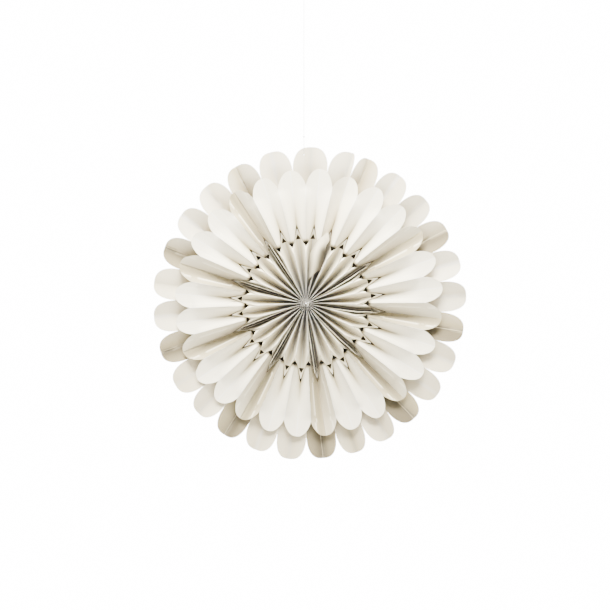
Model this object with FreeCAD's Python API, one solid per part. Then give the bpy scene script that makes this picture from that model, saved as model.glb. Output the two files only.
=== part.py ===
"""A hanging paper rosette: pleated paper strips standing round one centre, with petal-shaped ends.

Nine sections stand side by side round the centre, glued to each other by flaps. Each has three pleated strips:
long petals at the back, shorter petals in front of them, and a pointed star in front of those. The rosette hangs
on a thread from its top back petal. Sizes are in millimetres. It faces -Y, its axis is Y, and azimuths run
clockwise from +Z as seen from the front, in degrees. It is made about its own centre and moved at the end, so
that the top of the loop at the thread's upper end is the origin.
"""

import FreeCAD
import Part
import math
import os

# Pleats and sections
PLEATS = 28                     # pleats round the whole rosette
SECTION_PLEATS = [4] + [3] * 8  # section 1 hangs on the thread; the rest follow anticlockwise
JOIN_AZIMUTH = 19.5             # groove where the last section closes the circle against the first
SPREAD = 1.4                    # degrees by which the pleats near that join stand wider apart
SPREAD_CENTRE = 50.0            # azimuth at which they stand widest
PAPER = 0.25                    # thickness of the paper
CORE_R = 6.0                    # inner ends of the pleats
LAYER_GAP = 0.8                 # between the folds of the front and back strips
SEAM_GAP = 0.3                  # between one section's paper and the next one's
RIM_SLOPE = 20.0                # slope of the panels where the petals are free, in degrees
RIM_SHIFT = 4.4                 # the rim stands this much further out at +X, and less at -X
STATIONS = 8                    # points along each fold

# Long petals at the back
BACK_TIP_R = 200.0
BACK_SHOULDER_R = 176.0         # where their round ends begin
BACK_NOTCH_R = 160.0            # bottom of the gaps between them
BACK_PANEL = 20.6               # width of one panel of this strip, fold to fold

# Shorter petals in front
FRONT_TIP_R = 171.0
FRONT_SHOULDER_R = 153.0
FRONT_NOTCH_R = 147.0
FRONT_PANEL = 18.0
FRONT_START_R = 62.0            # their hidden inner edge at the ridges, under the star
FRONT_GROOVE_START_R = 90.0     # the same at the grooves, under the points of the star
SHOULDER_SHARE = 0.93           # half width of a petal's shoulder, as a share of half a pleat

# Star at the centre
STAR_TIP_R = 97.0               # points of the star
STAR_NOTCH_R = 73.0             # bottom of the notches between the points
STAR_SHOULDER_R = 77.0          # outer corners of the small triangles at the notches
NOTCH_HALF = 2.1                # half width of those triangles, in degrees
HOLE_R = (82.0, 86.6)           # triangular hole in each point: its base and its apex
HOLE_HALF = 1.8                 # half width of that hole, in degrees
STAR_LIFT = 1.0                 # the star lies this far in front of the front petals at the ridges
TIP_LIFT = 9.0                  # and its points stand this far out of the grooves

# Flaps that glue one section to the next
FLAP_START_R = 22.0
FLAP_SHARE = (0.24, 0.76)       # the part of the panel that a flap covers, groove side to ridge side
STAR_FLAP_END_R = 76.0
BACK_FLAP_END_R = 144.0
FLAP_CLEARANCE = 0.3            # between a flap and the panel that it is glued to, filled by the glue

# Thread
THREAD = 0.6                    # diameter
EYE_X, EYE_Z = -2.7, 191.0      # eye near the end of the top back petal
EYE_R = 1.4
LOOP_R = 4.5                    # bend of the loop that passes through the eye
LOWER_KNOT_Z = 214.0
UPPER_KNOT_Z = 400.0
HANG_LOOP_R = 7.0               # loop at the upper end, for a hook
KNOT_R = 1.1
TIE_R, TIE_THREAD = 4.4, 1.0    # ring of thread that gathers the inner ends: its radius and its thickness

HALF = 180.0 / PLEATS           # half a pleat, one panel, in degrees
MID_Y = (FRONT_PANEL + STAR_LIFT - BACK_PANEL) / 2  # puts the middle of the depth at y = 0


def azimuth(fold):
    """Azimuth of a fold, numbered clockwise from the closing join; even folds are grooves seen from the front."""
    even = JOIN_AZIMUTH + fold * HALF
    return even - SPREAD * (1 - math.cos(math.radians(even - SPREAD_CENTRE)))


def point(r, az, y=0.0):
    """The point at radius r, shifted sideways more and more towards the rim."""
    angle = math.radians(az)
    r *= 1 + RIM_SHIFT * r / BACK_TIP_R ** 2 * math.sin(angle)
    return FreeCAD.Vector(r * math.sin(angle), y, r * math.cos(angle))


def half_pitch(r):
    return r * math.tan(math.radians(HALF))


def pleat_depth(r, panel):
    """How far a ridge stands out of its groove at radius r: panels of constant width that flatten outwards."""
    free = half_pitch(r) * math.tan(math.radians(RIM_SLOPE))
    return max(free, math.sqrt(max(0.0, panel ** 2 - half_pitch(r) ** 2)))


def half_thickness(r, panel):
    """Half the paper's thickness measured along Y on the slanted panel, limited near the centre."""
    slope = math.atan2(pleat_depth(r, panel), half_pitch(r))
    return min(0.5 * PAPER / math.cos(slope), 1.0)


def front_y(r, fold):
    """Middle of the paper along a fold of the front petals; odd folds are the ridges."""
    out = pleat_depth(r, FRONT_PANEL) if fold % 2 else 0.0
    return MID_Y - LAYER_GAP / 2 - half_thickness(r, FRONT_PANEL) - out


def back_y(r, fold):
    """The same for the back petals, whose odd folds lie deepest."""
    out = pleat_depth(r, BACK_PANEL) if fold % 2 else 0.0
    return MID_Y + LAYER_GAP / 2 + half_thickness(r, BACK_PANEL) + out


def star_y(r, fold):
    lift = STAR_LIFT if fold % 2 else TIP_LIFT * (r / STAR_TIP_R) ** 3
    return front_y(r, fold) - lift


def radii(r0, r1):
    return [r0 + (r1 - r0) * i / (STATIONS - 1) for i in range(STATIONS)]


def curve(points):
    spline = Part.BSplineCurve()
    spline.interpolate(Points=points)
    return spline.toShape()


def sheet(rows):
    """A closed solid of paper; each row is given by the points along its front edge and along its back edge."""
    edges = [(curve(front), curve(back)) for front, back in rows]
    faces = []
    for (f0, b0), (f1, b1) in zip(edges, edges[1:]):
        faces += [Part.makeRuledSurface(f0, f1), Part.makeRuledSurface(b0, b1)]
        for end in (0, -1):
            corners = [edge.Vertexes[end].Point for edge in (f0, f1, b1, b0)]
            faces.append(Part.Face(Part.makePolygon(corners + corners[:1])))
    for front, back in (edges[0], edges[-1]):
        faces.append(Part.makeRuledSurface(front, back))
    shell = Part.makeShell(faces)
    shell.sewShape()
    solid = Part.Solid(shell)
    if solid.Volume < 0:
        solid.reverse()
    return solid


def pleated_strip(first, last, rs, height, panel):
    """Pleated paper from fold first to fold last."""
    rows = []
    for fold in range(first, last + 1):
        middle = [point(r, azimuth(fold), height(r, fold)) for r in rs]
        across = [FreeCAD.Vector(0, half_thickness(r, panel), 0) for r in rs]
        rows.append(([p - a for p, a in zip(middle, across)], [p + a for p, a in zip(middle, across)]))
    return sheet(rows)


def flap(fold, ridge_fold, r_end, height, side):
    """A leaf that lies on the panel between two folds, on its front (-1) or rear (1) side."""
    rows = {FLAP_SHARE[0]: ([], []), FLAP_SHARE[1]: ([], [])}
    for r in radii(FLAP_START_R, r_end):
        groove = point(r, azimuth(fold), height(r, fold))
        ridge = point(r, azimuth(ridge_fold), height(r, ridge_fold))
        along = point(1, (azimuth(fold) + azimuth(ridge_fold)) / 2)
        normal = (ridge - groove).cross(along).normalize()
        normal *= side if normal.y > 0 else -side
        for share, (front, back) in rows.items():
            at = groove + (ridge - groove) * share + normal * (FLAP_CLEARANCE + PAPER)
            front.append(at - normal * (PAPER / 2))
            back.append(at + normal * (PAPER / 2))
    return sheet(list(rows.values()))


def lines(points):
    return [Part.makeLine(a, b) for a, b in zip(points, points[1:])]


def prism(edges, closing_points):
    """An outline in the XZ plane, closed by straight lines, as a solid that runs through the whole depth."""
    start = edges[0].Vertexes[0].Point
    end = edges[-1].Vertexes[-1].Point
    wire = Part.Wire(edges + lines([end] + closing_points + [start]))
    face = Part.Face(wire)
    face.translate(FreeCAD.Vector(0, -2 * BACK_PANEL, 0))
    return face.extrude(FreeCAD.Vector(0, 4 * BACK_PANEL, 0))


def petal_half(centre, neighbour, notch_r, shoulder_r, tip_r):
    """Tip to notch along one side of a petal: an arc, level at the tip, and a straight run."""
    turn = azimuth(neighbour) - azimuth(centre)
    outward = point(1, azimuth(centre))
    across = FreeCAD.Vector(outward.z, 0, -outward.x) * math.copysign(1, turn)
    tip = point(tip_r, azimuth(centre))
    shoulder = point(shoulder_r, azimuth(centre) + turn * SHOULDER_SHARE)
    down = (tip - shoulder).dot(outward)
    wide = (shoulder - tip).dot(across)
    radius = (down ** 2 + wide ** 2) / (2 * down)
    bend = math.atan2(wide, radius - down) / 2
    bulge = tip - outward * radius * (1 - math.cos(bend)) + across * radius * math.sin(bend)
    return [tip, bulge, shoulder, point(notch_r, azimuth(neighbour))]


def petal_ends(first, last, odd, notch_r, shoulder_r, tip_r):
    """The scalloped outer edge, clockwise, with a petal centred on each odd (or each even) fold."""
    edges = []
    for fold in range(first, last):
        centre, neighbour = (fold, fold + 1) if fold % 2 == odd else (fold + 1, fold)
        tip, bulge, shoulder, notch = petal_half(centre, neighbour, notch_r, shoulder_r, tip_r)
        if centre < neighbour:
            edges += [Part.Arc(tip, bulge, shoulder).toShape(), Part.makeLine(shoulder, notch)]
        else:
            edges += [Part.makeLine(notch, shoulder), Part.Arc(shoulder, bulge, tip).toShape()]
    return edges


def clear_of_seams(solid, first, last):
    """Cuts the paper back a little at both ends of its section."""
    for fold in (first, last):
        slot = Part.makeBox(SEAM_GAP, 4 * BACK_PANEL, 2 * BACK_TIP_R)
        slot.translate(FreeCAD.Vector(-SEAM_GAP / 2, -2 * BACK_PANEL, 0))
        slot.rotate(FreeCAD.Vector(0, 0, 0), FreeCAD.Vector(0, 1, 0), azimuth(fold))
        solid = solid.cut(slot)
    return solid


def back_petals(first, last):
    strip = pleated_strip(first, last, radii(CORE_R, BACK_TIP_R + 1), back_y, BACK_PANEL)
    rim = petal_ends(first, last, 1, BACK_NOTCH_R, BACK_SHOULDER_R, BACK_TIP_R)
    return clear_of_seams(strip.common(prism(rim, [point(0, 0)])), first, last)


def front_petals(first, last):
    strip = pleated_strip(first, last, radii(FRONT_START_R, FRONT_TIP_R + 1), front_y, FRONT_PANEL)
    rim = petal_ends(first, last, 0, FRONT_NOTCH_R, FRONT_SHOULDER_R, FRONT_TIP_R)
    inner = []
    for fold in range(last, first - 1, -1):
        az = azimuth(fold)
        if fold % 2:
            left, right = az - NOTCH_HALF, az + NOTCH_HALF
            inner += [point(STAR_SHOULDER_R, right), point(FRONT_START_R, right)]
            inner += [point(FRONT_START_R, left), point(STAR_SHOULDER_R, left)]
        else:
            inner += [point(FRONT_GROOVE_START_R, az)]
    return clear_of_seams(strip.common(prism(rim, inner)), first, last)


def star(first, last):
    strip = pleated_strip(first, last, radii(CORE_R, STAR_TIP_R + 1), star_y, FRONT_PANEL)
    zigzag = []
    for fold in range(first, last + 1):
        az = azimuth(fold)
        if fold % 2:
            zigzag += [point(STAR_SHOULDER_R, az - NOTCH_HALF), point(STAR_NOTCH_R, az)]
            zigzag += [point(STAR_SHOULDER_R, az + NOTCH_HALF)]
        else:
            zigzag += [point(STAR_TIP_R, az)]
    solid = strip.common(prism(lines(zigzag), [point(0, 0)]))
    for fold in range(first, last + 1, 2):
        az = azimuth(fold)
        base = [point(HOLE_R[0], az + HOLE_HALF), point(HOLE_R[0], az - HOLE_HALF)]
        solid = solid.cut(prism(lines(base), [point(HOLE_R[1], az)]))
    return clear_of_seams(solid, first, last)


def section_folds():
    """(first, last) fold of each section, from section 1 at the top and then anticlockwise."""
    found = []
    last = 0
    for pleats in SECTION_PLEATS:
        found.append((last - 2 * pleats, last))
        last -= 2 * pleats
    return found


def eye_y():
    """Where the eye's middle lies: on the panel beside the middle fold of the top back petal."""
    r = math.hypot(EYE_X, EYE_Z)
    return back_y(r, 1)


def ball(z):
    knot = Part.makeSphere(KNOT_R)
    knot.translate(FreeCAD.Vector(EYE_X, eye_y(), z))
    return knot


def tube(edges, radius=THREAD / 2):
    wire = Part.Wire(edges)
    start = wire.Edges[0]
    direction = start.tangentAt(start.FirstParameter)
    ring = Part.Wire([Part.makeCircle(radius, start.valueAt(start.FirstParameter), direction)])
    return wire.makePipeShell([ring], True, False)


def lower_loop():
    """A drop-shaped loop through the eye, closed by the knot above the petal's end."""
    y = eye_y()
    bend_z = EYE_Z + LOOP_R
    reach = LOWER_KNOT_Z - bend_z
    away = math.asin(LOOP_R / reach)
    side = FreeCAD.Vector(EYE_X, y - LOOP_R * math.cos(away), bend_z + LOOP_R * math.sin(away))
    other = FreeCAD.Vector(EYE_X, 2 * y - side.y, side.z)
    knot = FreeCAD.Vector(EYE_X, y, LOWER_KNOT_Z)
    bottom = FreeCAD.Vector(EYE_X, y, EYE_Z)
    path = [Part.makeLine(knot, side), Part.Arc(side, bottom, other).toShape(), Part.makeLine(other, knot)]
    return drop(path).cut(ball(LOWER_KNOT_Z))


def drop(path):
    """The two straight sides and the bend of a loop, as one solid."""
    pieces = [tube([edge]) for edge in path]
    return pieces[0].multiFuse(pieces[1:]).removeSplitter()


def hang_loop():
    """The same shape upside down, larger, at the thread's upper end."""
    y = eye_y()
    bend_z = hang_loop_top() - HANG_LOOP_R
    away = math.asin(HANG_LOOP_R / (bend_z - UPPER_KNOT_Z))
    side = FreeCAD.Vector(EYE_X - HANG_LOOP_R * math.cos(away), y, bend_z - HANG_LOOP_R * math.sin(away))
    other = FreeCAD.Vector(2 * EYE_X - side.x, y, side.z)
    knot = FreeCAD.Vector(EYE_X, y, UPPER_KNOT_Z)
    top = FreeCAD.Vector(EYE_X, y, hang_loop_top())
    path = [Part.makeLine(knot, side), Part.Arc(side, top, other).toShape(), Part.makeLine(other, knot)]
    return drop(path).cut(ball(UPPER_KNOT_Z))


def hang_loop_top():
    return UPPER_KNOT_Z + 3.4 * HANG_LOOP_R


def thread():
    """The straight thread, between the two knots, just clear of the lower one, on which it turns."""
    low = FreeCAD.Vector(EYE_X, eye_y(), LOWER_KNOT_Z + KNOT_R + 0.1)
    high = FreeCAD.Vector(EYE_X, eye_y(), UPPER_KNOT_Z)
    return tube([Part.makeLine(low, high)]).cut(ball(UPPER_KNOT_Z))


def eye():
    axis = FreeCAD.Vector(0, 1, 0)
    return Part.makeCylinder(EYE_R, 2 * BACK_PANEL, FreeCAD.Vector(EYE_X, 0, EYE_Z), axis)


def centre_tie():
    axis = FreeCAD.Vector(0, 1, 0)
    return Part.makeTorus(TIE_R, TIE_THREAD / 2, FreeCAD.Vector(0, MID_Y, 0), axis)


def save(name, shape):
    solids = shape.Solids
    shape = solids[0] if len(solids) == 1 else Part.Compound(solids)
    shape.translate(FreeCAD.Vector(-EYE_X, -eye_y(), -hang_loop_top() - THREAD / 2))
    shape.exportStep(f"parts/{name}.step")
    size = [round(v, 1) for v in (shape.BoundBox.XLength, shape.BoundBox.YLength, shape.BoundBox.ZLength)]
    centre = [round(v, 2) for v in shape.CenterOfMass]
    print(name, len(solids), "solid, valid", shape.isValid(), "volume", round(shape.Volume, 1), size, centre)


def main():
    os.makedirs("parts", exist_ok=True)
    folds = section_folds()
    for number, (first, last) in enumerate(folds, 1):
        back = back_petals(first, last)
        if number == 1:
            back = back.cut(eye())
        save(f"star_{number}", star(first, last))
        save(f"front_petals_{number}", front_petals(first, last))
        save(f"back_petals_{number}", back)
        if number < len(folds):
            save(f"star_flap_{number}", flap(first, first + 1, STAR_FLAP_END_R, star_y, -1))
            save(f"back_flap_{number}", flap(first, first + 1, BACK_FLAP_END_R, back_y, -1))
    save("closing_tab", flap(0, -1, BACK_FLAP_END_R, back_y, 1))
    save("centre_tie", centre_tie())
    save("lower_loop", lower_loop())
    save("lower_knot", ball(LOWER_KNOT_Z))
    save("hanging_thread", thread())
    save("upper_knot", ball(UPPER_KNOT_Z))
    save("hang_loop", hang_loop())


main()
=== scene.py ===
"""The looks of a hanging paper rosette: pleated paper strips, a pointed star and the thread that holds it.

Lengths are in metres. Azimuths are in degrees and run clockwise from +Z as seen from the front. Folds are
numbered clockwise from the closing join: even folds are grooves seen from the front, odd ones are ridges.
A panel is the paper between two folds. A place on it is given by its radius r and by s, which is 0 at the
middle fold of its petal or tooth and 1 at the next fold. into is 0 on a panel's ridge and 1 in its groove.

Every sheet of paper holds two values from 0 to 1 at each point: "crease", how worn it is, and "hollow", how
much shade is painted on it: in and beside its folds, under the paper over it, and more or less by the way it
faces the light. The paint adds to the light's own shading. It was fitted to the brightness of the front view,
so it stays on the paper when the rosette turns.
"""

import math
import random

import bmesh
import bpy
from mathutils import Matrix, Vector


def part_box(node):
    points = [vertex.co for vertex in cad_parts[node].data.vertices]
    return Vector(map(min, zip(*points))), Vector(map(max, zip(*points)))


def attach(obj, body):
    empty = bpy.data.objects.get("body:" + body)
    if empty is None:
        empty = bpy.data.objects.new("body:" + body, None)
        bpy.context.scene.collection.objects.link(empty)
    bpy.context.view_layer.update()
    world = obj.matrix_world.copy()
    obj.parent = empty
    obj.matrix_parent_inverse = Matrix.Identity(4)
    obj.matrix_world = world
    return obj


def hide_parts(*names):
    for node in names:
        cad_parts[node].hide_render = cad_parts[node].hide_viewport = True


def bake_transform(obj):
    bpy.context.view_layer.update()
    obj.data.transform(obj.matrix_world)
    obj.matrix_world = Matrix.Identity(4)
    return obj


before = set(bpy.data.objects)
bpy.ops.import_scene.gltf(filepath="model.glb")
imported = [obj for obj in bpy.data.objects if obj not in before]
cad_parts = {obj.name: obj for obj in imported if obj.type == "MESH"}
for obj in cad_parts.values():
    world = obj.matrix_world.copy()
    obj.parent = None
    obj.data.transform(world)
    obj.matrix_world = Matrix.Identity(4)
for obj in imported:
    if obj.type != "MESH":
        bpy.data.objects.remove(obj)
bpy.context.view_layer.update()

# Pleats and sections
PLEATS = 28
FOLDS = 2 * PLEATS
SECTION_PLEATS = [4] + [3] * 8  # section 1 hangs on the thread; the rest follow anticlockwise
JOIN_AZIMUTH = 19.5             # groove where the last section closes the circle against the first
SPREAD = 1.4                    # degrees by which the folds stand behind an even spacing on average
SPREAD_CENTRE = 50.0            # azimuth where they don't; opposite it they are behind by twice as much
HALF = 180.0 / PLEATS           # width of a panel, in degrees
RIM_SHIFT = 0.0044              # the rim stands this much further out at +X, and further in at -X
PAPER = 0.0003                  # thickness of the paper
CREASE_WIDTH = 0.0006           # worn edge on each side of a fold
SHARP_ANGLE = 35                # edges turning more than this stay sharp, in degrees
FLANGE_END = 0.0006             # the glued edges at a seam end this far short of the petal's tip
SEAM_DEPTH = 0.0095             # how much further back the doubled paper at a seam pulls its groove

# Long petals at the back
BACK_TIP_R = 0.2005
BACK_NOTCH_R = 0.170
BACK_CORE_R = 0.006
BACK_PANEL = 0.0202             # width of one panel of this strip, fold to fold
BACK_SLOPE = 17                 # slope that its panels keep at the rim, in degrees
BACK_SCALLOP = (2.8, 0.57)      # roundness and fullness of a petal's end
BACK_ROWS = 26
BACK_UNEVEN = 0.0008            # unevenness of the height of the folds
BACK_COLUMNS = [1 - (1 - j / 9) ** 1.7 for j in range(10)]
BACK_COVERED = (0.095, 0.13)    # radii between which the painted shade of their covered part fades
BACK_FLANGE_R, BACK_FLANGE_RISE = 0.132, 0.0012     # where the glued edges at a seam start, and their height
BACK_CROWD = 8.5                # degrees by which they crowd together beside the join
BACK_CROWD_SHARE = 0.08         # share of the circle over which that fades
BACK_LAG, BACK_SAG = 2.3, 2.0   # degrees by which the others stay behind, everywhere and opposite the join

# Shorter petals in front, half a pleat further round
FRONT_TIP_R = 0.1715
FRONT_NOTCH_R = 0.1505
FRONT_PANEL = 0.0166
FRONT_SLOPE = 9
FRONT_SCALLOP = (2.2, 0.84)
FRONT_ROWS = 26
FRONT_GATHER = 1.5              # draws the rows together towards the inner edge
FRONT_FLANGE_R, FRONT_FLANGE_RISE = 0.098, 0.0014
FRONT_GAP = 0.0004              # between this strip and the middle plane
FRONT_UNEVEN = 0.0006           # unevenness of the ridges' height

# Star at the centre
STAR_TIP_R = 0.0962
STAR_CORNER_R = 0.0783          # where the side of a tooth meets the flat facet at the end of a ridge
STAR_NOTCH_R = 0.0725           # bottom of the notches between the teeth
STAR_CORE_R = 0.0005
STAR_TIP_LIFT = 0.0085          # the tips of the teeth stand this far out of the grooves
STAR_LIFT = 0.001               # and the ridges this far in front of the front petals
STAR_ROWS = 22
FACET_START_R = 0.063
CORNER_SHARE = 1 - 2.75 / HALF  # s at the corner of the facet
HOLE_R = (0.0825, 0.0893)       # triangular hole in each tooth: its base and its apex
HOLE_HALF = 2.4                 # half width of that hole, in degrees
EDGE_COLUMNS = 8                # columns of points up to the facet's side
STAR_COLUMNS = ([CORNER_SHARE * j / (EDGE_COLUMNS - 1) for j in range(EDGE_COLUMNS)]
                + [CORNER_SHARE + (1 - CORNER_SHARE) * j / 2 for j in (1, 2)])
STAR_DRIFT = 1.5                # degrees by which the folds stand further round on the right
STAR_DRIFT_AT = (95, 45)        # azimuth where they do so most, and how far it reaches

STAR_OUTLINE = [(0, STAR_TIP_R), (CORNER_SHARE, STAR_CORNER_R), (1, STAR_NOTCH_R)]
FRONT_INNER = [(0, 0.1006), (0.05, 0.0996), (0.11, 0.0970), (0.2, 0.0927), (0.36, 0.0857), (0.5, 0.0785),
               (CORNER_SHARE, STAR_CORNER_R), (0.62, STAR_CORNER_R + 0.0008), (1, STAR_CORNER_R + 0.0008)]
FRONT_COLUMNS = [0, 0.05, 0.11, 0.20, 0.28, 0.36, 0.48, 0.60, CORNER_SHARE, 0.76, 0.84, 0.90, 0.95, 0.985, 1]

# Leaves of doubled paper at the seams and at the join
LEAF_R = (0.012, 0.0895)
# share of the leaf's width, and how far its edge is turned there
LEAF_PROFILE = ((0.0, 0), (0.5, 0), (0.985, 0), (0.99, 0.15), (1.0, 1.0))
# sideways shift, share of the groove's depth, width of the turned edge and the painted shade of that edge
STAR_LEAVES = ((0.0012, 0.86, 0.0006, 0.14), (-0.0008, 0.7, -0.0003, 0.75))
BACK_LEAF_R, BACK_LEAF_LENGTH = 0.014, 0.130
BACK_LEAF_LIFT = 0.0006
# sides of the closing leaf, as radii and degrees from the folds -2 and 0, and its outer edge across it
CLOSING_LEFT = [(0.062, -1.5), (0.080, 3.1)]
CLOSING_RIGHT = [(0.047, 4.7), (0.060, 2.2), (0.070, 0.7), (0.078, -0.1), (0.083, 1.0), (0.086, 1.0),
                 (0.0945, -2.3)]
CLOSING_OUTER = [(0, 0.080), (0.5, 0.088), (0.93, 0.0945), (1, 0.093)]
CLOSING_LIFT = 0.0009

# Thread
THREAD_R = 0.0003
EYE_R = 0.0007
LOWER_LOOP_R = 0.0045
HANG_LOOP_R = 0.007
KNOT_SIZE = 0.001
CORD_Z = (-0.2089, -0.1165, -0.0241)
TIE_THREAD_R = 0.0005

# Radius near each layer's rim, passed on to bend_with_fold
BACK_RIM_R, FRONT_RIM_R, STAR_RIM_R = 0.19, 0.16, 0.09

# Colours
# painted shade: its darkest tint, and the middle tints of that shade for each paper
PAINTED_SHADE_TINT = (0.050, 0.043, 0.028)
WORN_PAPER = (0.95, 0.945, 0.93, 1)
WARM_SHADE, EVEN_SHADE = (0.50, 0.46, 0.35), (0.53, 0.52, 0.50)
PETAL_PAPER = (0.88, 0.82, 0.64), (0.82, 0.75, 0.56)
BACK_PETAL_PAPER = (0.85, 0.78, 0.60), (0.78, 0.70, 0.52)
STAR_PAPER = (0.86, 0.78, 0.54), (0.79, 0.70, 0.46)
THREAD_COLOURS = (0.62, 0.6, 0.57, 1), (0.82, 0.81, 0.78, 1)

# Camera and studio
LENS, SENSOR = 85, 36
WIDTH_SEEN = 0.7796             # at the plane of the rosette
CAMERA_SHIFT = (-0.0013, -0.0019)
LIGHTS = [                      # place from the centre, size, power, colour
    ("key", (-0.15, -0.9, 1.9), (1.6, 1.2), 470, (1.0, 0.99, 0.97)),
    ("front", (0.2, -2.6, 0.4), (2.4, 2.4), 66, (1.0, 0.99, 0.98)),
    ("behind", (-1.7, 1.5, 1.3), (1.2, 1.2), 210, (1.0, 0.99, 0.97)),
]
WORLD_COLOUR, WORLD_STRENGTH = (1, 0.94, 0.84, 1), 0.25
BACKDROP_R, BACKDROP_GLOW = 8, 16
FLOOR_R, FLOOR_DROP = 3.4, 1.2
FLOOR_COLOUR = (0.9, 0.9, 0.89, 1)

tie_low, tie_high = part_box("centre_tie")
knot_low, knot_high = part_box("lower_knot")
upper_low, upper_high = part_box("upper_knot")
CENTRE = Vector(((tie_low[0] + tie_high[0]) / 2, 0, (tie_low[2] + tie_high[2]) / 2))
MIDDLE_Y = (tie_low[1] + tie_high[1]) / 2       # the plane where the front and back strips meet
HANG_LOOP_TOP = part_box("hang_loop")[1][2]
EYE_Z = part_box("lower_loop")[0][2] + THREAD_R


# ---------------------------------------------------------------- small helpers

def smooth(a, b, x):
    """Rises softly from 0 at a to 1 at b."""
    t = min(1.0, max(0.0, (x - a) / (b - a)))
    return t * t * (3 - 2 * t)


def fade(a, b, x):
    """Falls softly from 1 at a to 0 at b."""
    return 1 - smooth(a, b, x)


def along(knots, x):
    """Value at x on the line through the knots."""
    for (x0, y0), (x1, y1) in zip(knots, knots[1:]):
        if x <= x1:
            return y0 + (y1 - y0) * max(0.0, x - x0) / (x1 - x0)
    return knots[-1][1]


def add_camera():
    data = bpy.data.cameras.new("camera")
    data.lens = LENS
    data.sensor_width = SENSOR
    camera = bpy.data.objects.new("camera", data)
    bpy.context.collection.objects.link(camera)
    distance = WIDTH_SEEN * data.lens / data.sensor_width
    camera.location = (CENTRE.x + CAMERA_SHIFT[0], MIDDLE_Y - distance, CENTRE.z + CAMERA_SHIFT[1])
    camera.rotation_euler = (math.radians(90), 0, 0)
    bpy.context.scene.camera = camera


def stand_for(obj, body, cad_node):
    """Puts a piece on its body, in place of a CAD node. Without a body it only takes the node's place."""
    if body:
        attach(obj, body)
    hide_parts(cad_node)


def new_object(name, mesh, material):
    obj = bpy.data.objects.new(name, mesh)
    bpy.context.collection.objects.link(obj)
    mesh.materials.clear()
    mesh.materials.append(material)
    return obj


# ---------------------------------------------------------------- materials

def node(tree, kind, inputs=None, **settings):
    """A new shader node with its settings, and with values for some of its inputs."""
    made = tree.nodes.new(kind)
    for name, value in settings.items():
        setattr(made, name, value)
    for name, value in (inputs or {}).items():
        made.inputs[name].default_value = value
    return made


def node_tree(name, shader_kind="ShaderNodeBsdfPrincipled", inputs=None):
    """A material with one shader linked to its output."""
    material = bpy.data.materials.new(name)
    material.use_nodes = True
    tree = material.node_tree
    tree.nodes.clear()
    out = node(tree, "ShaderNodeOutputMaterial")
    shader = node(tree, shader_kind, inputs)
    tree.links.new(shader.outputs[0], out.inputs[0])
    return material, tree, shader


def paper_material(name, pale, deep, half_shade):
    """Clouded, fibrous paper, paler where it is worn, with painted shade where it lies deep in a fold or
    under other paper.
    """
    material, tree, shader = node_tree(name, inputs={"Specular IOR Level": 0.25, "Sheen Weight": 0.08})
    link = tree.links.new
    at = node(tree, "ShaderNodeTexCoord")
    cloud = node(tree, "ShaderNodeTexNoise", {"Scale": 28, "Detail": 3})
    fibre = node(tree, "ShaderNodeTexNoise", {"Scale": 900, "Detail": 4, "Roughness": 0.7})
    for texture in (cloud, fibre):
        link(at.outputs["Object"], texture.inputs["Vector"])

    grain = node(tree, "ShaderNodeMath", {1: 0.8}, operation="MULTIPLY_ADD")
    link(cloud.outputs["Fac"], grain.inputs[0])
    link(fibre.outputs["Fac"], grain.inputs[2])
    span = node(tree, "ShaderNodeMapRange", {"From Min": 0.6, "From Max": 1.3})
    link(grain.outputs[0], span.inputs["Value"])
    tint = node(tree, "ShaderNodeMix", {"A": (*pale, 1), "B": (*deep, 1)}, data_type="RGBA")
    link(span.outputs[0], tint.inputs["Factor"])

    crease = node(tree, "ShaderNodeAttribute", attribute_name="crease")
    wear = node(tree, "ShaderNodeMath", {1: 0.5}, operation="MULTIPLY")
    link(crease.outputs["Fac"], wear.inputs[0])
    worn = node(tree, "ShaderNodeMix", {"B": WORN_PAPER}, data_type="RGBA")
    link(wear.outputs[0], worn.inputs["Factor"])
    link(tint.outputs["Result"], worn.inputs["A"])

    # painted shade: the paper is darkened from white through half_shade to the darkest shade tint
    painted_shade = node(tree, "ShaderNodeAttribute", attribute_name="painted_shade")
    ramp = node(tree, "ShaderNodeValToRGB")
    ramp.color_ramp.elements[0].color = (1, 1, 1, 1)
    ramp.color_ramp.elements[1].color = (*PAINTED_SHADE_TINT, 1)
    ramp.color_ramp.elements.new(0.5).color = (*half_shade, 1)
    link(painted_shade.outputs["Fac"], ramp.inputs["Fac"])
    shaded = node(tree, "ShaderNodeMix", data_type="RGBA", blend_type="MULTIPLY")
    shaded.inputs["Factor"].default_value = 1
    link(worn.outputs["Result"], shaded.inputs["A"])
    link(ramp.outputs["Color"], shaded.inputs["B"])
    link(shaded.outputs["Result"], shader.inputs["Base Color"])

    rough = node(tree, "ShaderNodeMapRange", {"To Min": 0.78, "To Max": 0.95})
    link(fibre.outputs["Fac"], rough.inputs["Value"])
    link(rough.outputs[0], shader.inputs["Roughness"])
    bump = node(tree, "ShaderNodeBump", {"Strength": 0.25, "Distance": 0.0002})
    link(grain.outputs[0], bump.inputs["Height"])
    link(bump.outputs[0], shader.inputs["Normal"])
    return material


def thread_material():
    """Twisted cotton, with bands across the thread."""
    material, tree, shader = node_tree("thread", inputs={"Roughness": 0.6, "Sheen Weight": 0.3})
    link = tree.links.new
    at = node(tree, "ShaderNodeTexCoord")
    twist = node(tree, "ShaderNodeTexWave", {"Scale": 700, "Distortion": 1.5}, bands_direction="DIAGONAL")
    link(at.outputs["Object"], twist.inputs["Vector"])
    tint = node(tree, "ShaderNodeMix", {"A": THREAD_COLOURS[0], "B": THREAD_COLOURS[1]}, data_type="RGBA")
    link(twist.outputs["Fac"], tint.inputs["Factor"])
    link(tint.outputs["Result"], shader.inputs["Base Color"])
    bump = node(tree, "ShaderNodeBump", {"Strength": 0.6, "Distance": 0.0001})
    link(twist.outputs["Fac"], bump.inputs["Height"])
    link(bump.outputs[0], shader.inputs["Normal"])
    return material


# ---------------------------------------------------------------- the shape of the folds

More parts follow.
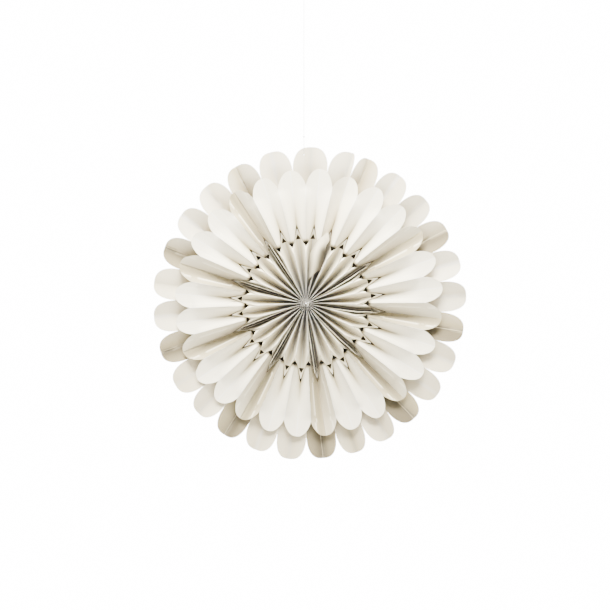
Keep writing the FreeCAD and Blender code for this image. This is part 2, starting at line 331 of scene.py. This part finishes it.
def section_folds():
    """(first, last) fold of each section, from section 1 at the top and then anticlockwise."""
    found = []
    last = 0
    for pleats in SECTION_PLEATS:
        found.append((last - 2 * pleats, last))
        last -= 2 * pleats
    return found


SECTIONS = section_folds()
SEAMS = {first % FOLDS for first, last in SECTIONS}

# Small irregularities of every fold
rng = random.Random(7)
SWAY = [rng.uniform(-0.35, 0.35) for fold in range(FOLDS)]          # of its azimuth
REACH = [rng.uniform(-0.0012, 0.0012) for fold in range(FOLDS)]     # of a petal's length
PULL = [rng.uniform(-1, 1) for fold in range(FOLDS)]                # of its height and its tint
LEAN = [rng.uniform(-1.9, 1.9) for fold in range(FOLDS)]            # of the star's ridges near the centre


def azimuth(fold):
    even = JOIN_AZIMUTH + fold * HALF
    return even - SPREAD * (1 - math.cos(math.radians(even - SPREAD_CENTRE))) + SWAY[fold % FOLDS]


def turned(fold, r, height):
    """Azimuth of a fold at radius r in the strip with this height: the strips don't lie exactly in line."""
    if height is star_y:
        lean = LEAN[fold % FOLDS] * fade(0.022, 0.068, r) if fold % 2 else 0.0
        at, width = STAR_DRIFT_AT
        drift = STAR_DRIFT * math.exp(-((azimuth(fold) % 360 - at) / width) ** 2) * smooth(0.01, 0.03, r)
        return azimuth(fold) + lean + drift * fade(0.062, 0.081, r)
    if height is not back_y or fold % FOLDS == 0:
        return azimuth(fold)
    t = (-fold / FOLDS) % 1     # share of the circle, anticlockwise from the join
    crowd = BACK_CROWD * math.exp(-t / BACK_CROWD_SHARE)
    lag = BACK_LAG + BACK_SAG * math.sin(math.pi * t) ** 4
    return azimuth(fold) + (crowd - lag) * smooth(0.02, 0.12, r)


def half_pitch(r):
    """Width of a panel at radius r, seen from the front."""
    return r * math.tan(math.radians(HALF))


def depth(r, panel, rim_slope):
    """How far a ridge stands out of its groove at radius r, for panels of constant width."""
    flat = half_pitch(r) * math.tan(math.radians(rim_slope))
    return math.sqrt(max(0.0, panel ** 2 - half_pitch(r) ** 2) + flat ** 2)


def place(r, az, y):
    """The point at radius r, shifted sideways more and more towards the rim."""
    angle = math.radians(az)
    r *= 1 + RIM_SHIFT * r / BACK_TIP_R ** 2 * math.sin(angle)
    return CENTRE + Vector((r * math.sin(angle), MIDDLE_Y + y, r * math.cos(angle)))


def seam_pull(fold, r):
    """How much deeper the doubled paper at a seam pulls its fold."""
    if fold % FOLDS not in SEAMS:
        return 0.0
    return SEAM_DEPTH * smooth(0.03, 0.10, r) * (1 - 0.4 * smooth(0.13, 0.19, r))


def front_y(r, fold):
    """Height along a fold of the front petals, from the middle plane; -Y is the front."""
    if fold % 2:
        pulled = FRONT_UNEVEN * PULL[fold % FOLDS] * smooth(0, 0.1, r)
        return -FRONT_GAP - depth(r, FRONT_PANEL, FRONT_SLOPE) + pulled
    return -FRONT_GAP + seam_pull(fold, r)


def back_y(r, fold):
    """The same for the back petals, whose odd folds lie deepest."""
    if fold % 2:
        seam = 0.8 * seam_pull(fold - 1, r) + BACK_UNEVEN * PULL[fold % FOLDS] * smooth(0, 0.1, r)
        return 0.0006 + depth(r, BACK_PANEL, BACK_SLOPE) + seam
    hidden_drop = 0.013 * fade(0.095, 0.135, r) * smooth(0.02, 0.05, r)
    return 0.0008 + max(seam_pull(fold, r), hidden_drop)


def star_y(r, fold):
    """The same for the star, whose teeth lift out of the grooves."""
    if fold % 2:
        return front_y(r, fold) - STAR_LIFT
    lift = STAR_TIP_LIFT * (r / STAR_TIP_R) ** 3
    return front_y(r, fold) - seam_pull(fold, r) * 0.6 - lift


def scallop(s, notch_r, tip_r, roundness, fullness):
    """Outer edge of a petal."""
    return notch_r + (tip_r - notch_r) * max(0.0, 1 - s ** roundness) ** fullness


def front_inner(s):
    """Hidden inner edge of the front petals, which shows only at the grooves and ridges."""
    return along(FRONT_INNER, s)


def star_outer(s):
    return along(STAR_OUTLINE, s)


def facet_share(s, r):
    """Draws the columns beside a ridge together, until the flat facet at its outer end begins."""
    opened = min(1.0, max(0.0, (r - FACET_START_R) / (STAR_CORNER_R - FACET_START_R)))
    wide = 1 - (1 - CORNER_SHARE) * opened
    if s <= CORNER_SHARE:
        return s / CORNER_SHARE * wide
    return wide + (1 - wide) * (s - CORNER_SHARE) / (1 - CORNER_SHARE)


# ---------------------------------------------------------------- sheets of paper

class Strip:
    """Collects panels as one sheet of paper."""

    def __init__(self):
        self.mesh = bmesh.new()
        self.crease = self.mesh.verts.layers.float.new("crease")
        # painted shade on the front side and on the rear side of the sheet
        self.painted_shade = self.mesh.verts.layers.float.new("painted_shade")
        self.rear = self.mesh.verts.layers.float.new("rear_painted_shade")

    def add(self, points, creases, painted_shades, rears=None):
        """A grid of points, column by column, with its wear and the shade painted on each side."""
        rows = [[self.mesh.verts.new(p) for p in line] for line in points]
        for line, worn, deep, behind in zip(rows, creases, painted_shades, rears or painted_shades):
            for vert, wear, front, rear in zip(line, worn, deep, behind):
                vert[self.crease] = wear
                vert[self.painted_shade] = front
                vert[self.rear] = rear
        for a, b in zip(rows, rows[1:]):
            for i in range(len(a) - 1):
                self.mesh.faces.new((a[i], b[i], b[i + 1], a[i + 1]))

    def cut(self, corners):
        """Takes a convex shape out of the sheet; corners are points in the plane of the rosette."""
        middle = sum(corners, Vector()) / len(corners)
        size = max((c - middle).length for c in corners)
        near = []
        for face in self.mesh.faces:
            offset = face.calc_center_median() - middle
            offset.y = 0
            if offset.length < 3 * size + 0.006:
                near.append(face)
        planes = []
        for a, b in zip(corners, corners[1:] + corners[:1]):
            normal = (b - a).cross(Vector((0, 1, 0)))
            if normal.dot(middle - a) > 0:
                normal.negate()
            planes.append((a, normal))
        for a, normal in planes:
            near = [f for f in near if f.is_valid]
            geometry = set(near)
            for face in near:
                geometry.update(face.edges)
                geometry.update(face.verts)
            cut = bmesh.ops.bisect_plane(
                self.mesh, geom=list(geometry), plane_co=a, plane_no=normal, dist=1e-7)
            near = [g for g in cut["geom"] if isinstance(g, bmesh.types.BMFace)]
        inside = []
        for face in near:
            if face.is_valid and all(normal.dot(face.calc_center_median() - a) < 0 for a, normal in planes):
                inside.append(face)
        bmesh.ops.delete(self.mesh, geom=inside, context="FACES")

    def finish(self, name, material):
        """Gives the sheet its thickness and makes it an object."""
        bmesh.ops.remove_doubles(self.mesh, verts=self.mesh.verts, dist=2e-6)
        bmesh.ops.dissolve_degenerate(self.mesh, dist=1e-6, edges=self.mesh.edges)
        bmesh.ops.recalc_face_normals(self.mesh, faces=self.mesh.faces)
        data = bpy.data.meshes.new(name)
        self.mesh.to_mesh(data)
        self.mesh.free()
        obj = new_object(name, data, material)
        solid = obj.modifiers.new("paper", "SOLIDIFY")
        solid.thickness = PAPER
        solid.offset = 0
        graph = bpy.context.evaluated_depsgraph_get()
        result = bpy.data.meshes.new_from_object(obj.evaluated_get(graph))
        obj.modifiers.clear()
        obj.data = result
        bpy.data.meshes.remove(data)
        result.name = name
        choose_side(result)
        for polygon in result.polygons:
            polygon.use_smooth = True
        result.set_sharp_from_angle(angle=math.radians(SHARP_ANGLE))
        return obj


def choose_side(mesh):
    """Keeps, on the rear side of the sheet, the shade painted on that side."""
    front, rear = mesh.attributes["painted_shade"].data, mesh.attributes["rear_painted_shade"].data
    half = len(mesh.vertices) // 2
    for i in range(half):
        back = i if mesh.vertices[i].co.y > mesh.vertices[i + half].co.y else i + half
        front[back].value = rear[back].value


def shade(darkness):
    """How much of the darkest painted shade tint gives this share of its darkness to the eye."""
    least = sum(PAINTED_SHADE_TINT) / 3
    return (1 - least ** min(1.0, max(0.0, darkness))) / (1 - least)


def panel_points(fold, centre, columns, out_r, in_r, height, rows, shape, painted_shade,
                 share=lambda s, r: s, gather=1.0):
    """Grid on the panel from fold to fold + 1, for Strip.add; centre is the petal's middle fold.

    shape gives the roundness of the cross-section, 1 for a sharp crease, hollow how much shade is painted on
    a place, and share how far across the panel a column lies. gather draws the rows towards the inner edge.
    """
    neighbour = 2 * fold + 1 - centre
    points, creases, painted_shades, rears = [], [], [], []
    for s in columns:
        line, worn, deep, behind = [], [], [], []
        for row in range(rows + 1):
            r = in_r(s) + (out_r(s) - in_r(s)) * (row / rows) ** gather
            across = share(s, r)
            start = turned(centre, r, height)
            az = start + (turned(neighbour, r, height) - start) * across
            rise = height(r, neighbour) - height(r, centre)
            y = height(r, centre) + rise * across ** shape(r)
            line.append(place(r, az, y))
            worn.append(max(0.0, 1 - min(across, 1 - across) * half_pitch(r) / CREASE_WIDTH))
            into = 1 - across if rise < 0 else across
            deep.append(painted_shade(r, into, s))
            # painted shade on the rear side, darker towards its groove
            behind.append(0.45 * (1 - into) ** 1.5 * fade(0.03, 0.12, r))
        points.append(line)
        creases.append(worn)
        painted_shades.append(deep)
        rears.append(behind)
    return points, creases, painted_shades, rears


def plain_grid(points, darkness):
    """Grid of points for Strip.add without wear, with one amount of painted shade for each column."""
    creases = [[0.0] * len(line) for line in points]
    return points, creases, [[dark] * len(line) for line, dark in zip(points, darkness)]


def overhung(centre, neighbour):
    """1 on the half of a petal that lies below its crease, 0 on the half above it; more shade is painted
    below.
    """
    side = math.sin(math.radians(azimuth(centre))) * (neighbour - centre)
    return smooth(-0.4, 0.4, side)


def flange(fold, height, r0, r1, rise, rows=18):
    """The glued edges at a seam, which stand a little out of the crease."""
    points = []
    shares = (0.0, 0.55, 1.0)
    for share in shares:
        line = []
        for row in range(rows + 1):
            r = r0 + (r1 - r0) * row / rows
            end = min(1.0, 4 * row / rows, 6 * (1 - row / rows) + 0.25)
            az = turned(fold, r, height) + math.degrees((0.0003 + 0.0007 * share) / r)
            line.append(place(r, az, height(r, fold) - 0.0003 - rise * share * end))
        points.append(line)
    # painted shade on the glued edges, lighter towards their free edge
    return plain_grid(points, [0.7 - 0.3 * share for share in shares])


# ---------------------------------------------------------------- the three layers
# The numbers in the shades below were set until the front view was about as bright as the photo.

def back_shades(fold, centre, seam):
    """Painted shade of a back petal: at its crease, how far that reaches, and all over."""
    around = math.radians(azimuth(centre))
    low, right = 0.5 - 0.5 * math.cos(around), 0.5 + 0.5 * math.sin(around)
    # painted shade: heavier on the lower petals, and on a seam's petal also towards the right and on its
    # lower half
    if not seam:
        dark = 0.20 + 0.12 * PULL[centre % FOLDS]
        return dark, 0.004, 0.02 + 0.16 * abs(PULL[fold % FOLDS]) + 0.16 * smooth(0.35, 0.85, low)
    below = overhung(centre, 2 * fold + 1 - centre)
    shaded = low * (0.3 + 0.7 * right) + 0.15 * right
    dark = 0.30 + (0.12 - 0.10 * shaded) * below
    upper, lower = 0.08 + 0.45 * low, (0.54 + 0.32 * shaded) * smooth(-0.05, 0.2, low)
    return dark, 0.0085 + 0.0025 * below, upper + (lower - upper) * below


def back_strip(strip, first, last):
    """Long petals, one round each odd fold."""
    for fold in range(first, last):
        centre = fold if fold % 2 else fold + 1
        tip = BACK_TIP_R + REACH[centre % FOLDS]
        seam = (centre - 1) % FOLDS in SEAMS
        dark, reach, even = back_shades(fold, centre, seam)

        def painted_shade(r, into, s):
            # painted shade: on the part covered by the front petals, along the crease, in the front petals'
            # shadow and all over
            covered = fade(*BACK_COVERED, r)
            crease = dark * math.exp(-(1 - into) * half_pitch(r) / reach)
            under = 0.25 * fade(0.150, 0.172, r + 0.012 * into)
            return min(1.0, covered + min(0.88, crease + under + even))

        strip.add(*panel_points(
            fold, centre, BACK_COLUMNS,
            lambda s: scallop(s, BACK_NOTCH_R, tip, *BACK_SCALLOP), lambda s: BACK_CORE_R, back_y, BACK_ROWS,
            lambda r: 1 + (0 if seam else 0.12 * smooth(0.14, 0.18, r)), painted_shade))
        if seam and centre == fold + 1:
            strip.add(*flange(centre, back_y, BACK_FLANGE_R, tip - FLANGE_END, BACK_FLANGE_RISE))


def front_shades(fold, centre, seam):
    """Painted shade of a front petal: at its crease, how far that reaches, in a band beside it, and all over.
    """
    if not seam:
        return 0.6, 0.0028, 0.0, 0.04 * abs(PULL[fold % FOLDS])
    below = overhung(centre, 2 * fold + 1 - centre)
    low = 0.5 - 0.5 * math.cos(math.radians(azimuth(centre)))
    upper = 0.14 + 0.08 * low
    return 0.06 * (1 - below), 0.0065, 0.34 * below, upper + (0.44 - upper) * below


def front_strip(strip, first, last):
    """Shorter petals, one round each even fold. The one over the join is made as a plain petal."""
    for fold in range(first, last):
        centre = fold + 1 if fold % 2 else fold
        tip = FRONT_TIP_R + REACH[centre % FOLDS]
        seam = centre % FOLDS in SEAMS - {0}
        dark, reach, band, even = front_shades(fold, centre, seam)

        def painted_shade(r, into, s):
            # painted shade: a shadow along the star's outline, shade along the crease and between the petals,
            # a band of shadow beside a seam's crease, and some all over
            beyond = max(0.0, r - max(star_outer(s), front_inner(s)))
            contact = shade(0.9 * math.exp(-beyond / 0.0016))
            long = 1 - smooth(0.10, 0.165 if seam else 0.145, r) * (0.2 if seam else 1)
            near = math.exp(-(1 - into) * half_pitch(r) / reach)
            between = 0.3 * math.exp(-into * half_pitch(r) / 0.0012) * fade(0.11, 0.15, r)
            cast = band * math.exp(-(((1 - into) * half_pitch(r) - 0.005) / 0.005) ** 2)
            return min(1.0, max(contact, (dark * near + cast) * long + between + even))

        strip.add(*panel_points(
            fold, centre, FRONT_COLUMNS,
            lambda s: scallop(s, FRONT_NOTCH_R, tip, *FRONT_SCALLOP), front_inner, front_y, FRONT_ROWS,
            lambda r: 1 + (0 if seam else 0.5 * smooth(0.10, 0.15, r)), painted_shade, gather=FRONT_GATHER))
        if seam and centre == fold:
            strip.add(*flange(centre, front_y, FRONT_FLANGE_R, tip - FLANGE_END, FRONT_FLANGE_RISE))


def star_strip(strip, first, last):
    """Teeth, one round each even fold."""
    for fold in range(first, last):
        centre = fold + 1 if fold % 2 else fold
        seam = centre % FOLDS in SEAMS
        # 1 for a panel that faces up at rest, -1 for one that faces down
        facing_up = math.sin(math.radians(azimuth(centre))) * (2 * fold + 1 - 2 * centre)
        up, down = max(0.0, facing_up) ** 2, max(0.0, -facing_up) ** 2

        def painted_shade(r, into, s):
            # painted shade in the grooves, darkest near the centre and at the seams; broader on panels that
            # face up and lighter on those that face down
            low = 0.10 * fade(0.008, 0.045, r)
            away = smooth(0.015, 0.04, r)
            spread = (0.2 + 1.5 * smooth(0.02, 0.085, r)) * (1 - 0.5 * up * away)
            soft = (0.56 - 0.34 * smooth(0.022, 0.090, r)) * min(1.0, 1.5 * into) ** spread
            soft *= 1 - 0.75 * down * away
            if seam:
                gap = smooth(0.15 + 0.2 * down * away, 0.4 + 0.3 * down * away, into)
                end = 1 - 0.5 * smooth(0.082, 0.092, r)
                soft = max(soft, 0.85 * (1 - 0.4 * down * away) * gap * end)
            return shade(soft + low)

        points, creases, painted_shades, rears = panel_points(
            fold, centre, STAR_COLUMNS, star_outer, lambda s: STAR_CORE_R, star_y, STAR_ROWS,
            lambda r: 1 + 0.25 * smooth(0.02, 0.06, r), painted_shade, facet_share)
        flatten_facet(points)
        strip.add(points, creases, painted_shades, rears)
    if last == 0:
        strip.add(*closing_leaf())
    base, apex = HOLE_R
    for fold in range(first, last + 1, 2):
        if fold % FOLDS:
            az = azimuth(fold)
            strip.cut([place(apex, az, 0), place(base, az + HOLE_HALF, 0), place(base, az - HOLE_HALF, 0)])


def flatten_facet(points):
    """Brings the points beyond the facet's side down to the height of that side."""
    for line in points[EDGE_COLUMNS:]:
        for point, side in zip(line, points[EDGE_COLUMNS - 1]):
            r = math.hypot(point.x - CENTRE.x, point.z - CENTRE.z)
            if r > FACET_START_R:
                point.y = max(point.y, side.y)


# ---------------------------------------------------------------- leaves at the seams and at the join

def star_leaf(fold, sideways, rise_share, edge, dark, rows=20):
    """Stands in the star's groove at a seam, nearly edge on, with its free edge turned a little outwards."""
    points = []
    inner, outer = LEAF_R
    for share, turn in LEAF_PROFILE:
        line = []
        for row in range(rows + 1):
            r = inner + (outer - inner) * row / rows
            rise = rise_share * (star_y(r, fold + 1) - star_y(r, fold)) * (1 - 0.75 * smooth(0.06, outer, r))
            across = sideways * (0.4 + share) * min(1.0, r / 0.03) + edge * turn * smooth(0.015, 0.05, r)
            az = turned(fold, r, star_y) + math.degrees(across / r)
            line.append(place(r, az, star_y(r, fold) + rise * share))
        points.append(line)
    # painted shade: the leaf is as dark as the darkest shade tint, except its turned edge
    return plain_grid(points, [dark if turn else 1.0 for share, turn in LEAF_PROFILE])


def star_surface(r, az):
    """Height of the star's paper at a place between two folds near the join."""
    for fold in range(-4, 4):
        low, high = turned(fold, r, star_y), turned(fold + 1, r, star_y)
        if low <= az <= high:
            share = (az - low) / (high - low)
            return star_y(r, fold) + share * (star_y(r, fold + 1) - star_y(r, fold))
    return star_y(r, 1)


def closing_leaf(columns=12, rows=22):
    """Closes the star: a broad leaf glued over section 1's last tooth, reaching across the join's groove."""
    points, creases, painted_shades = [], [], []
    for column in range(columns + 1):
        u = column / columns
        inner = 0.029 + 0.018 * u
        outer = along(CLOSING_OUTER, u)
        sink = 0.5 * max(0.0, 1 - u / 0.35) ** 2 + 0.35 * max(0.0, u / 0.6 - 1) ** 2 / 0.44
        line, deep = [], []
        for row in range(rows + 1):
            r = inner + (outer - inner) * row / rows
            left, right = azimuth(-2) + along(CLOSING_LEFT, r), azimuth(0) + along(CLOSING_RIGHT, r)
            az = left + (right - left) * u
            y = star_y(r, -1) + sink * (star_y(r, -2) - star_y(r, -1))
            line.append(place(r, az, min(y, star_surface(r, az)) - CLOSING_LIFT))
            # painted shade: light at the tip, tan towards the left side and the inner end, and dark along the
            # right edge where the groove lies
            right_edge_shade = 0.85 * smooth(0.38, 1.0, u) * fade(0.068, 0.080, r)
            deep.append(shade(0.04 + 0.3 * max(0.0, 1 - u / 0.3) + right_edge_shade + 0.28 * fade(0.03, 0.075, r)))
        points.append(line)
        creases.append([0.0] * len(line))
        painted_shades.append(deep)
    return points, creases, painted_shades


def back_leaf(fold, ridge, side, attached=False, rows=20):
    """Glued to the panel between two folds; an attached one starts at the edge of its own section's paper."""
    points = []
    for share in (0.0 if attached else 0.24, 0.4, 0.6, 0.76):
        line = []
        for row in range(rows + 1):
            r = BACK_LEAF_R + BACK_LEAF_LENGTH * row / rows
            a = place(r, turned(fold, r, back_y), back_y(r, fold))
            b = place(r, turned(ridge, r, back_y), back_y(r, ridge))
            out = place(1, (azimuth(fold) + azimuth(ridge)) / 2, 0) - place(0, 0, 0)
            normal = (b - a).cross(out).normalized()
            if normal.y * side < 0:
                normal.negate()
            line.append(a.lerp(b, share) + normal * BACK_LEAF_LIFT * min(1.0, 4 * share))
        points.append(line)
    # painted shade, the same all over the leaf
    return plain_grid(points, [0.3] * len(points))


def add_flaps(material):
    """The doubled leaf at each seam: its free edge shows in the groove of the star and along the petal."""
    for number, (first, last) in enumerate(SECTIONS[:-1], 1):
        strip = Strip()
        for sideways, rise_share, edge, dark in STAR_LEAVES:
            strip.add(*star_leaf(first, sideways, rise_share, edge, dark))
        leaf = strip.finish(f"star_flap_{number}_leaf", material)
        stand_for(leaf, f"section_{number}", f"star_flap_{number}")
        strip = Strip()
        strip.add(*back_leaf(first, first + 1, -1))
        leaf = strip.finish(f"back_flap_{number}_leaf", material)
        stand_for(leaf, f"section_{number}", f"back_flap_{number}")
    strip = Strip()
    strip.add(*back_leaf(0, -1, 1, attached=True))
    stand_for(strip.finish("closing_tab_leaf", material), "section_9", "closing_tab")


# ---------------------------------------------------------------- putting the layers on their bodies

def bend_with_fold(obj, number, first, last, a, b, radius):
    """Bakes the piece's place into its mesh."""
    clock, anti = place(radius, azimuth(b), 0), place(radius, azimuth(a), 0)
    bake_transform(obj)


def pierce_eye(strip, sides=10):
    """The eye that the lower loop passes through."""
    corners = []
    for i in range(sides):
        t = -2 * math.pi * i / sides
        corners.append(Vector((EYE_R * math.cos(t), 0, EYE_Z + EYE_R * math.sin(t))))
    strip.cut(corners)


def add_layer(kind, build, radius, material):
    """Section 1 in one piece, because it is rigid, and the other sections pleat by pleat."""
    for number, (first, last) in enumerate(SECTIONS, 1):
        groups = [(first, last)] if number == 1 else [(a, a + 2) for a in range(first, last, 2)]
        for index, (a, b) in enumerate(groups, 1):
            strip = Strip()
            build(strip, a, b)
            if number == 1 and kind == "back_petals":
                pierce_eye(strip)
            name = f"{kind}_{number}" if number == 1 else f"{kind}_{number}_pleat_{index}"
            obj = strip.finish(f"{name}_paper", material)
            if number > 1:
                bend_with_fold(obj, number, first, last, a, b, radius)
            body = "section_1" if number == 1 else None
            stand_for(obj, body, f"{kind}_{number}")


# ---------------------------------------------------------------- thread

def sweep(name, path, radius, material, closed=False):
    """A round tube along a path of points."""
    curve = bpy.data.curves.new(name, "CURVE")
    curve.dimensions = "3D"
    curve.bevel_depth = radius
    curve.bevel_resolution = 2
    spline = curve.splines.new("POLY")
    spline.points.add(len(path) - 1)
    for point, at in zip(spline.points, path):
        point.co = (*at, 1)
    spline.use_cyclic_u = closed
    temporary = bpy.data.objects.new(name, curve)
    bpy.context.collection.objects.link(temporary)
    graph = bpy.context.evaluated_depsgraph_get()
    mesh = bpy.data.meshes.new_from_object(temporary.evaluated_get(graph))
    bpy.data.objects.remove(temporary)
    bpy.data.curves.remove(curve)
    for polygon in mesh.polygons:
        polygon.use_smooth = True
    return new_object(name, mesh, material)


def knot_path(middle, size, steps=60):
    """A small overhand knot: a trefoil, flattened along the thread."""
    path = []
    for i in range(steps):
        t = 2 * math.pi * i / steps
        x = math.sin(t) + 2 * math.sin(2 * t)
        y = math.cos(t) - 2 * math.cos(2 * t)
        z = -math.sin(3 * t)
        path.append(Vector(middle) + Vector((x, z, y)) * size / 3)
    return path


def loop_path(knot, bend, radius, direction, steps=24):
    """From the knot round a bend and back: direction points across the loop."""
    knot, bend, direction = Vector(knot), Vector(bend), Vector(direction)
    axis = (bend - knot).normalized()
    away = math.asin(radius / (bend - knot).length)
    path = [knot]
    for i in range(steps + 1):
        turn = -away + (math.pi + 2 * away) * i / steps
        path.append(bend + direction * radius * math.cos(turn) + axis * radius * math.sin(turn))
    path.append(knot)
    return path


def add_thread(material):
    """The straight cord, which carries the rosette, and its knots and loops."""
    low, middle, high = (Vector((0, 0, z)) for z in CORD_Z)
    curve = bpy.data.curves.new("hanging_thread_cord", "CURVE")
    curve.dimensions = "3D"
    curve.bevel_depth = THREAD_R
    curve.bevel_resolution = 3
    spline = curve.splines.new("NURBS")
    spline.points.add(2)
    for point, at in zip(spline.points, (low, middle, high)):
        point.co = (*at, 1)
    spline.order_u = 3
    spline.use_endpoint_u = True
    cord = bpy.data.objects.new("hanging_thread_cord", curve)
    bpy.context.collection.objects.link(cord)
    curve.materials.append(material)
    stand_for(cord, "thread", "hanging_thread")
    lower_knot = (0, 0, (knot_low[2] + knot_high[2]) / 2)
    upper_knot = (0, 0, (upper_low[2] + upper_high[2]) / 2)
    lower_path = loop_path(lower_knot, (0, 0, EYE_Z + LOWER_LOOP_R), LOWER_LOOP_R, (0, 1, 0))
    hang_path = loop_path(
        upper_knot, (0, 0, HANG_LOOP_TOP - THREAD_R - HANG_LOOP_R), HANG_LOOP_R, (1, 0, 0))
    pieces = [
        ("lower_knot", "eye_loop",
         sweep("lower_knot_tied", knot_path(lower_knot, KNOT_SIZE), THREAD_R, material, closed=True)),
        ("upper_knot", "thread",
         sweep("upper_knot_tied", knot_path(upper_knot, KNOT_SIZE), THREAD_R, material, closed=True)),
        ("lower_loop", "eye_loop", sweep("lower_loop_thread", lower_path, THREAD_R, material)),
        ("hang_loop", "thread", sweep("hang_loop_thread", hang_path, THREAD_R, material)),
    ]
    for cad_node, body, obj in pieces:
        stand_for(obj, body, cad_node)
    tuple(low)


def add_tie(material, steps=48):
    """The ring of thread that gathers the inner ends of the pleats."""
    radius = (tie_high[0] - tie_low[0]) / 2 - TIE_THREAD_R
    path = []
    for i in range(steps):
        t = 2 * math.pi * i / steps
        y = MIDDLE_Y + 0.0004 * math.sin(5 * t)
        path.append(Vector((CENTRE.x + radius * math.sin(t), y, CENTRE.z + radius * math.cos(t))))
    obj = sweep("centre_tie_thread", path, TIE_THREAD_R, material, closed=True)
    stand_for(obj, "section_1", "centre_tie")


# ---------------------------------------------------------------- studio

def area_light(name, at, target, size, power, colour):
    data = bpy.data.lights.new(name, "AREA")
    data.shape = "RECTANGLE"
    data.size, data.size_y = size
    data.energy = power
    data.color = colour
    light = bpy.data.objects.new(name, data)
    bpy.context.collection.objects.link(light)
    light.location = at
    light.rotation_euler = (Vector(target) - Vector(at)).to_track_quat("-Z", "Y").to_euler()
    light.visible_camera = False


def mesh_from(name, bm):
    data = bpy.data.meshes.new(name)
    bm.to_mesh(data)
    bm.free()
    return data


def add_studio():
    """Soft lights, a white backdrop that only the camera sees, and a pale floor well below the rosette."""
    centre = CENTRE + Vector((0, MIDDLE_Y, 0))
    for name, offset, size, power, colour in LIGHTS:
        area_light(name, centre + Vector(offset), centre, size, power, colour)
    world = bpy.data.worlds.new("studio")
    bpy.context.scene.world = world
    world.use_nodes = True
    background = world.node_tree.nodes["Background"]
    background.inputs["Color"].default_value = WORLD_COLOUR
    background.inputs["Strength"].default_value = WORLD_STRENGTH

    bm = bmesh.new()
    bmesh.ops.create_uvsphere(bm, u_segments=48, v_segments=24, radius=BACKDROP_R)
    glow = node_tree("white_backdrop", "ShaderNodeEmission", {"Strength": BACKDROP_GLOW})[0]
    backdrop = new_object("backdrop", mesh_from("backdrop", bm), glow)
    backdrop.location = centre
    backdrop.visible_diffuse = False
    backdrop.visible_glossy = False
    backdrop.visible_shadow = False
    backdrop.visible_transmission = False

    bm = bmesh.new()
    bmesh.ops.create_circle(bm, cap_ends=True, segments=96, radius=FLOOR_R)
    pale = node_tree("pale_floor", inputs={"Base Color": FLOOR_COLOUR, "Roughness": 0.9})[0]
    floor = new_object("floor", mesh_from("floor", bm), pale)
    floor.location = (centre.x, centre.y, centre.z - FLOOR_DROP)


def main():
    add_camera()
    thread = thread_material()
    add_thread(thread)
    paper = paper_material("petal_paper", *PETAL_PAPER, WARM_SHADE)
    star_paper = paper_material("star_paper", *STAR_PAPER, EVEN_SHADE)
    back_paper = paper_material("back_petal_paper", *BACK_PETAL_PAPER, WARM_SHADE)
    add_layer("back_petals", back_strip, BACK_RIM_R, back_paper)
    add_layer("front_petals", front_strip, FRONT_RIM_R, paper)
    add_layer("star", star_strip, STAR_RIM_R, star_paper)
    add_flaps(star_paper)
    add_tie(thread)
    add_studio()


main()
